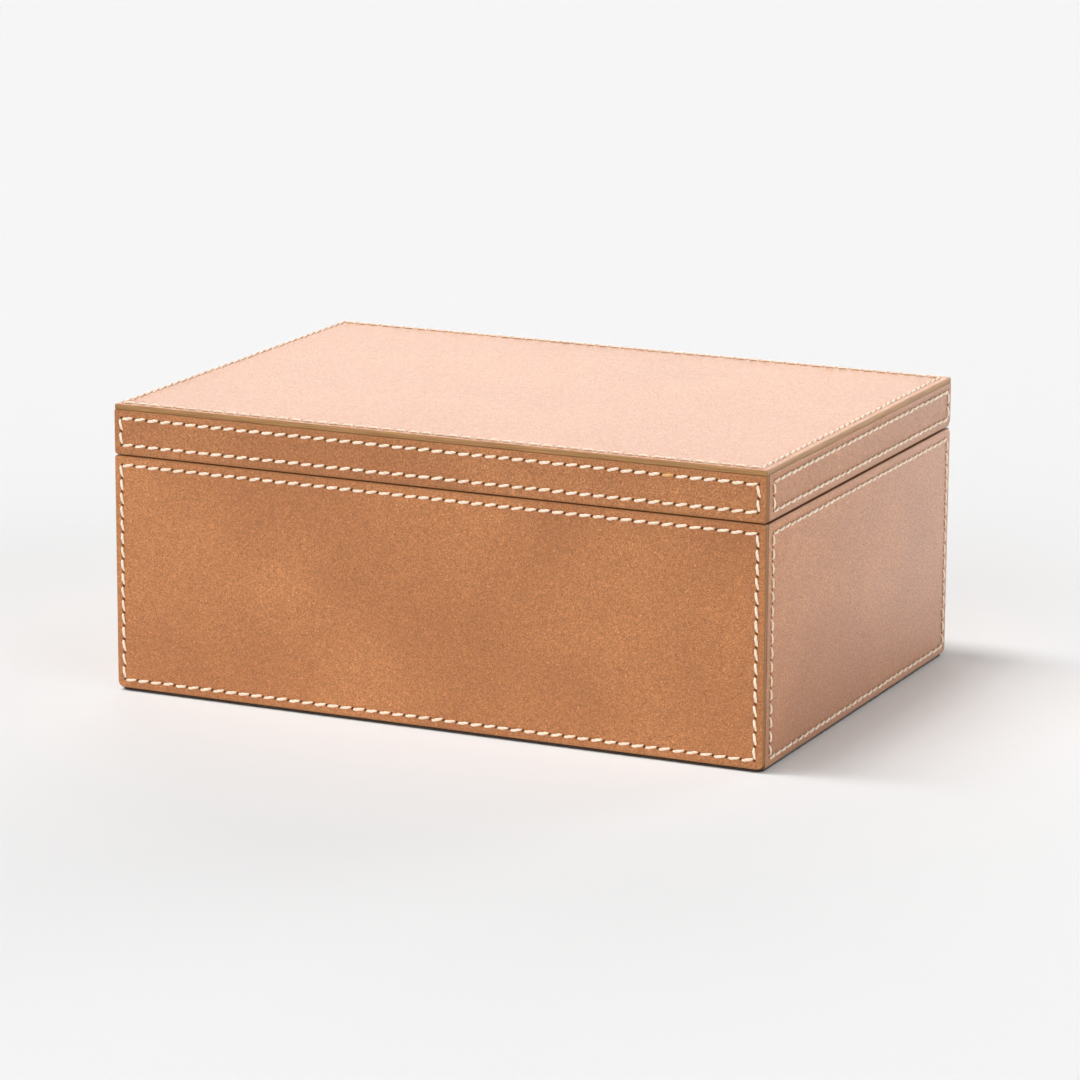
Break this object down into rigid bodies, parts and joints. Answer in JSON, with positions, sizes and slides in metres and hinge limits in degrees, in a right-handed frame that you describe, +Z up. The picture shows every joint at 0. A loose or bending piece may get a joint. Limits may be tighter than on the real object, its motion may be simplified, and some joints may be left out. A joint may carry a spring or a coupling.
{
  "type": "leather keepsake box",
  "caption": "Rectangular leather keepsake box for papers, with a shallow lid on flush brass hinges at the back, stitched panel edges and a lined, open inside",
  "frame": {"origin": "middle of the bottom face, on the surface that the box stands on", "axes": "+X along the width to the right seen from the front, +Y to the back where the hinges are, +Z up"},
  "size_m": [0.25, 0.178, 0.105],
  "materials": {
    "top_leather": "pale natural tan leather with a fine grain, semi-matt",
    "side_leather": "tan leather with a fine grain, semi-matt",
    "leather_edge": "burnished cut edge of the leather, smooth",
    "thread": "waxed cream linen thread",
    "board": "plain board, hidden under leather and lining",
    "lining": "soft suede lining, matt",
    "felt": "dark pressed felt",
    "brass": "satin solid brass"
  },
  "bodies": {
    "base": {"base_front_leather": "side_leather", "base_front_board": "board", "base_front_lining": "lining", "base_back_leather": "side_leather", "base_back_board": "board", "base_back_lining": "lining", "base_left_leather": "side_leather", "base_left_board": "board", "base_left_lining": "lining", "base_right_leather": "side_leather", "base_right_board": "board", "base_right_lining": "lining", "base_floor_board": "board", "base_floor_lining": "lining", "base_felt": "felt", "hinge_left_base_leaf": "brass", "hinge_left_pin": "brass", "screw_left_base_1": "brass", "screw_left_base_2": "brass", "hinge_right_base_leaf": "brass", "hinge_right_pin": "brass", "screw_right_base_1": "brass", "screw_right_base_2": "brass"},
    "lid": {"lid_front_leather": "side_leather", "lid_front_board": "board", "lid_front_lining": "lining", "lid_back_leather": "side_leather", "lid_back_board": "board", "lid_back_lining": "lining", "lid_left_leather": "side_leather", "lid_left_board": "board", "lid_left_lining": "lining", "lid_right_leather": "side_leather", "lid_right_board": "board", "lid_right_lining": "lining", "lid_top_board": "board", "lid_top_lining": "lining", "lid_top_leather": "top_leather", "hinge_left_lid_leaf": "brass", "screw_left_lid_1": "brass", "screw_left_lid_2": "brass", "hinge_right_lid_leaf": "brass", "screw_right_lid_1": "brass", "screw_right_lid_2": "brass"}
  },
  "joints": [
    {"name": "lid_hinge", "type": "hinge", "parent": "base", "child": "lid", "pos_m": [0, 0.0873, 0.0866], "axis": [-1, 0, 0], "range_deg": [0, 97]}
  ]
}
